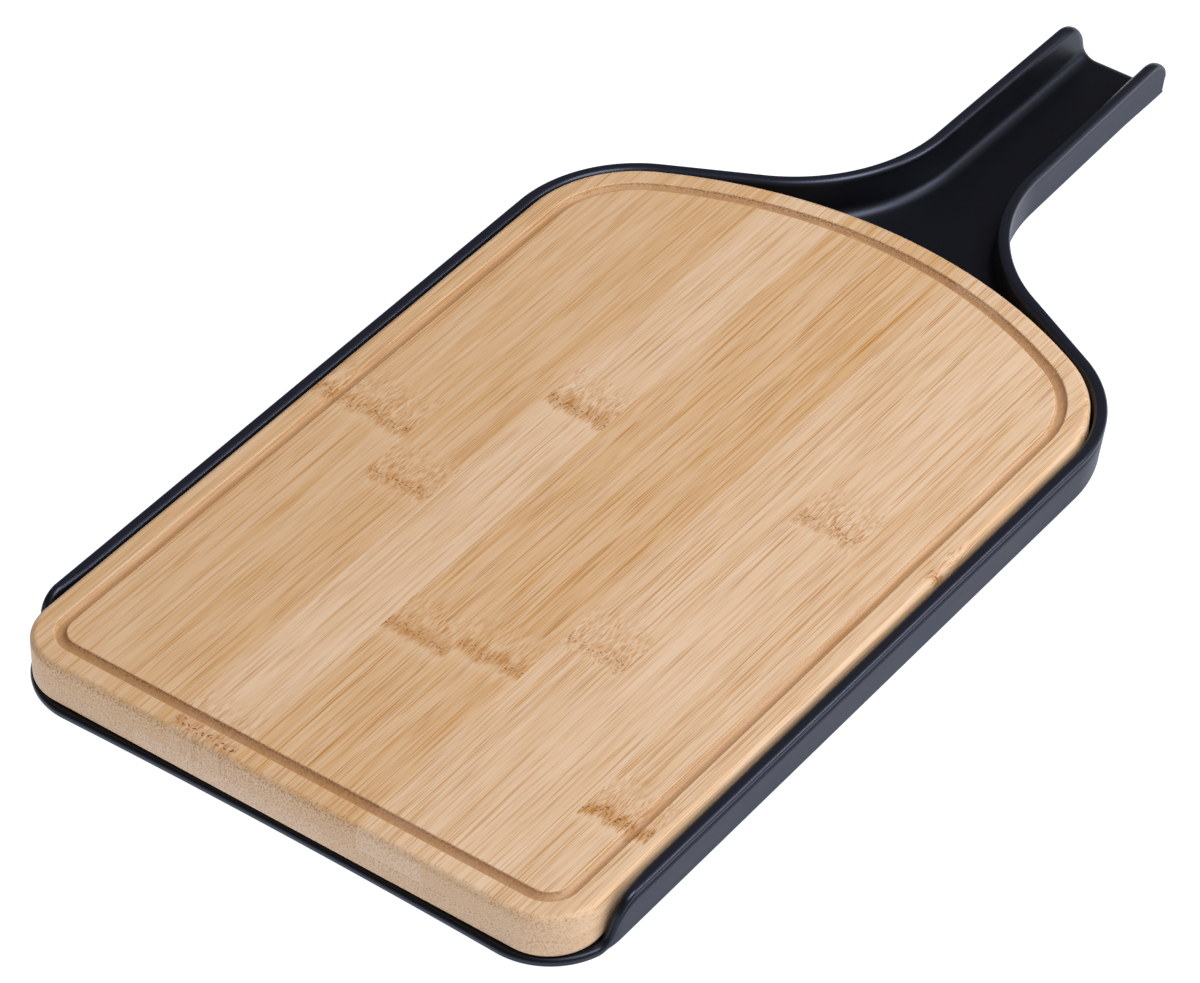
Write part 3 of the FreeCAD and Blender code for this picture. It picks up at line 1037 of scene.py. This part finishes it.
    def dress(self, piece: bpy.types.Object) -> None:
        """Gives the outside, below the parting line, the mould's rougher finish.

        A face is on the outside where it looks away from the tray's own middle or downward.

        Args:
            piece: The tray's mesh object, with both finishes.
        """
        mesh = piece.data
        normal = np.empty(len(mesh.polygons) * 3)
        middle = np.empty(len(mesh.polygons) * 3)
        mesh.polygons.foreach_get("normal", normal)
        mesh.polygons.foreach_get("center", middle)
        normal, middle = normal.reshape(-1, 3), middle.reshape(-1, 3) / MM
        top = self.wall_top(middle[:, 1] - FRONT_EDGE_Y)
        low = middle[:, 2] < top - self.seam_below_rim - self.outside_below_seam
        sideways = (normal[:, 0] * middle[:, 0] > 0.0) & (normal[:, 2] < self.sideways_limit)
        under = normal[:, 2] < self.downward_limit
        mesh.polygons.foreach_set("material_index", (low & (sideways | under)).astype(np.int32))

    def assemble(self) -> list[bpy.types.Object]:
        """Builds and dresses the tray, and lets it stand for its node.

        Returns:
            The tray.
        """
        piece = self.build()
        for finish in (self.inside, self.outside):
            piece.data.materials.append(finish.make())
        self.dress(piece)
        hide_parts("tray")
        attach(piece, "tray")
        return [piece]


@dataclass(frozen=True)
class TopStrip:
    """Look of one strip of the top ply: warmth of its tone, tone of its end, streaks and knots."""

    warmth: float
    end: float
    streaks: float
    knots: tuple[Knot, ...]
    pores: float = 1.0


@dataclass
class LaminatedBoard:
    """The board's strips, from left to right: their tones and their knots.

    A strip's tan follows its warmth: top_tan holds its share of honey in a strip without warmth,
    and what each unit of warmth adds. In the bottom ply bottom_warmth is the least warmth and its
    spread, and bottom_knots the first knot's place, the step to the next strip's and their range.
    """

    pale: Colour = (0.788, 0.567, 0.388)
    honey: Colour = (0.678, 0.42, 0.213)
    tan_end: Colour = (0.79, 0.52, 0.285)
    pink_end: Colour = (0.9, 0.66, 0.46)
    top_seed: float = 1.3
    top_tan: Span = (0.36, 1.2)
    top: tuple[TopStrip, ...] = (
        TopStrip(0.5, 0.2, 0.95, (Knot(163.0, 0.4),)),
        TopStrip(0.5, 0.3, 0.85, (Knot(163.0, 0.45),)),
        TopStrip(0.58, 0.25, 1.0, (Knot(139.0, 0.35),)),
        TopStrip(0.12, 0.4, 0.85, (Knot(206.0, 0.7), Knot(4.0, 0.5, 0.8, 1.5))),
        TopStrip(0.55, 0.5, 1.15, (Knot(83.0, 0.6, 0.7),)),
        TopStrip(0.6, 0.35, 1.25, (Knot(89.0, 0.6, 0.7),)),
        TopStrip(0.19, 0.9, 1.0, (Knot(112.0, 0.15),), 0.55),
        TopStrip(0.07, 0.25, 0.85, (Knot(207.5, 0.35),), 0.55),
        TopStrip(0.17, 0.4, 1.0, (Knot(53.0, 0.95, 1.0, 1.2),), 0.55),
        TopStrip(0.2, 0.4, 0.95, (Knot(210.0, 0.5),), 0.55),
    )
    bottom_seed: float = 31.7
    bottom_pale: Colour = (0.73, 0.54, 0.39)
    bottom_ends: tuple[float, ...] = (0.5, 0.5, 0.5, 0.9, 0.95, 0.9, 0.6, 0.5, 0.55, 0.55)
    bottom_streaks: float = 0.8
    bottom_warmth: Span = (0.1, 0.25)
    bottom_tan_rise: float = 0.4
    bottom_knots: Triple = (40.0, 97, 280)
    bottom_skin_z: float = PLY_LINE_Z + 4.0

    @staticmethod
    def between(share: float, first: Colour, second: Colour) -> Colour:
        """A tone at a share of the way from the first to the second."""
        return tuple(one + (two - one) * share for one, two in zip(first, second))

    def finish_of(self, ply: Ply, index: int) -> BambooFinish:
        """The bamboo of one strip; in the bottom ply its number spreads its tone and its knot.

        Args:
            ply: The ply in which it lies.
            index: Its number from the left, from 0.

        Returns:
            The strip's finish.
        """
        name = f"bamboo_{ply.value}_{index + 1:02d}"
        if ply is Ply.TOP:
            strip = self.top[index]
            share, added = self.top_tan
            return BambooFinish(
                name, index + self.top_seed, self.between(strip.warmth, self.pale, self.honey),
                self.between(share + added * strip.warmth, self.pale, self.honey),
                self.between(strip.end, self.tan_end, self.pink_end), strip.knots,
                streaks=strip.streaks, pores=strip.pores)
        least, spread = self.bottom_warmth
        warmth = least + spread * (index * 7 % 4) / 3  # one of four tones, in a mixed order
        first, step, reach = self.bottom_knots
        return BambooFinish(
            name, index + self.bottom_seed, self.between(warmth, self.bottom_pale, self.honey),
            self.between(warmth + self.bottom_tan_rise, self.bottom_pale, self.honey),
            self.between(self.bottom_ends[index], self.tan_end, self.pink_end),
            (Knot(first + index * step % reach),), self.bottom_skin_z, self.bottom_streaks)

    def assemble(self) -> list[bpy.types.Object]:
        """Gives each strip of both plies its own bamboo.

        Returns:
            The strips.
        """
        strips = []
        for ply in Ply:
            names = sorted(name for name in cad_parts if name.startswith(ply.value))
            for index, name in enumerate(names):
                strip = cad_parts[name]
                strip.data.materials.clear()
                strip.data.materials.append(self.finish_of(ply, index).make())
                strips.append(strip)
        return strips


@dataclass(frozen=True)
class SoftLight:
    """A soft rectangular light: place and size in metres, power in watts."""

    name: str
    place: Triple
    size: Span
    power: float
    tint: Colour

    def make(self) -> bpy.types.Object:
        """Hangs the light, turned to the board.

        Returns:
            The light.
        """
        data = bpy.data.lights.new(self.name, "AREA")
        data.shape = "RECTANGLE"
        data.size, data.size_y = self.size
        data.energy = self.power
        data.color = self.tint
        light = add_object(self.name, data)
        light.location = self.place
        light.rotation_mode = "QUATERNION"
        light.rotation_quaternion = Vector(self.place).to_track_quat("Z", "Y")
        return light


@dataclass
class Studio:
    """Floor, lights and camera. Sizes are in metres, the camera's in millimetres."""

    camera_place: Triple = (0.882636, -1.266421, 1.329802)
    camera_rows: tuple[Triple, ...] = (
        (0.802673, -0.395151, 0.446735), (0.596418, 0.530162, -0.602672), (0.001304, 0.750189, 0.661222))
    lens: float = 174.76
    sensor: float = 36.0
    far_limit: float = 50.0
    floor_size: float = 12.0
    floor_drop: float = 0.0002
    floor_tone: Colour = (0.2, 0.2, 0.2)
    floor_roughness: float = 0.9
    floor_glow: Colour = (0.88, 0.915, 1.0)
    floor_glow_strength: float = 1.14
    air_tone: Colour = (0.95, 0.94, 1.0)
    air_strength: float = 0.15
    lights: tuple[SoftLight, ...] = (
        SoftLight("overhead_right", (1.0, 0.1, 2.0), (1.2, 1.2), 45.2, (0.97, 0.985, 1.0)),
        SoftLight("low_back_right", (1.2, 0.84, 0.8), (0.5, 0.4), 8.5, (0.95, 0.97, 1.0)),
    )

    def camera(self) -> bpy.types.Object:
        """Makes the camera and hands it to the scene.

        Returns:
            The camera.
        """
        data = bpy.data.cameras.new("camera")
        data.lens = self.lens
        data.sensor_width = self.sensor
        data.clip_end = self.far_limit
        camera = add_object("camera", data)
        turn = Matrix(self.camera_rows).to_4x4()
        camera.matrix_world = Matrix.Translation(Vector(self.camera_place)) @ turn
        bpy.context.scene.camera = camera
        return camera

    def floor(self) -> bpy.types.Object:
        """Makes the pale floor.

        Returns:
            The floor.
        """
        half = self.floor_size / 2
        mesh = bpy.data.meshes.new("floor")
        corners = [(-half, -half, 0), (half, -half, 0), (half, half, 0), (-half, half, 0)]
        mesh.from_pydata(corners, [], [(0, 1, 2, 3)])
        floor = add_object("floor", mesh)
        floor.location.z = -self.floor_drop
        material = bpy.data.materials.new("pale_floor")
        material.use_nodes = True
        shader = material.node_tree.nodes["Principled BSDF"]
        values = {
            "Base Color": (*self.floor_tone, 1.0), "Roughness": self.floor_roughness,
            "Specular IOR Level": 0.0, "Emission Color": (*self.floor_glow, 1.0),
            "Emission Strength": self.floor_glow_strength,
        }
        for name, value in values.items():
            shader.inputs[name].default_value = value
        mesh.materials.append(material)
        return floor

    def air(self) -> bpy.types.World:
        """Fills the studio with faint light from all sides.

        Returns:
            The world.
        """
        world = bpy.data.worlds.new("studio_air")
        world.use_nodes = True
        back = world.node_tree.nodes["Background"]
        back.inputs["Color"].default_value = (*self.air_tone, 1.0)
        back.inputs["Strength"].default_value = self.air_strength
        return world

    def assemble(self) -> list[bpy.types.Object]:
        """Makes floor, lights, air and camera.

        Returns:
            Floor, lights and camera.
        """
        scene = bpy.context.scene
        scene.view_settings.view_transform = "Standard"
        scene.world = self.air()
        return [self.floor(), *(light.make() for light in self.lights), self.camera()]


def main() -> None:
    """Builds the studio, the tray and the board in order, and reports each piece."""
    logging.basicConfig(level=logging.INFO, format="%(name)s: %(message)s")
    for part in (Studio(), TrayMoulding(), LaminatedBoard()):
        for piece in part.assemble():
            count = len(piece.data.polygons) if piece.type == "MESH" else 0
            LOG.info("%s: %s, %d faces", type(part).__name__, piece.name, count)


if __name__ == "__main__":
    main()
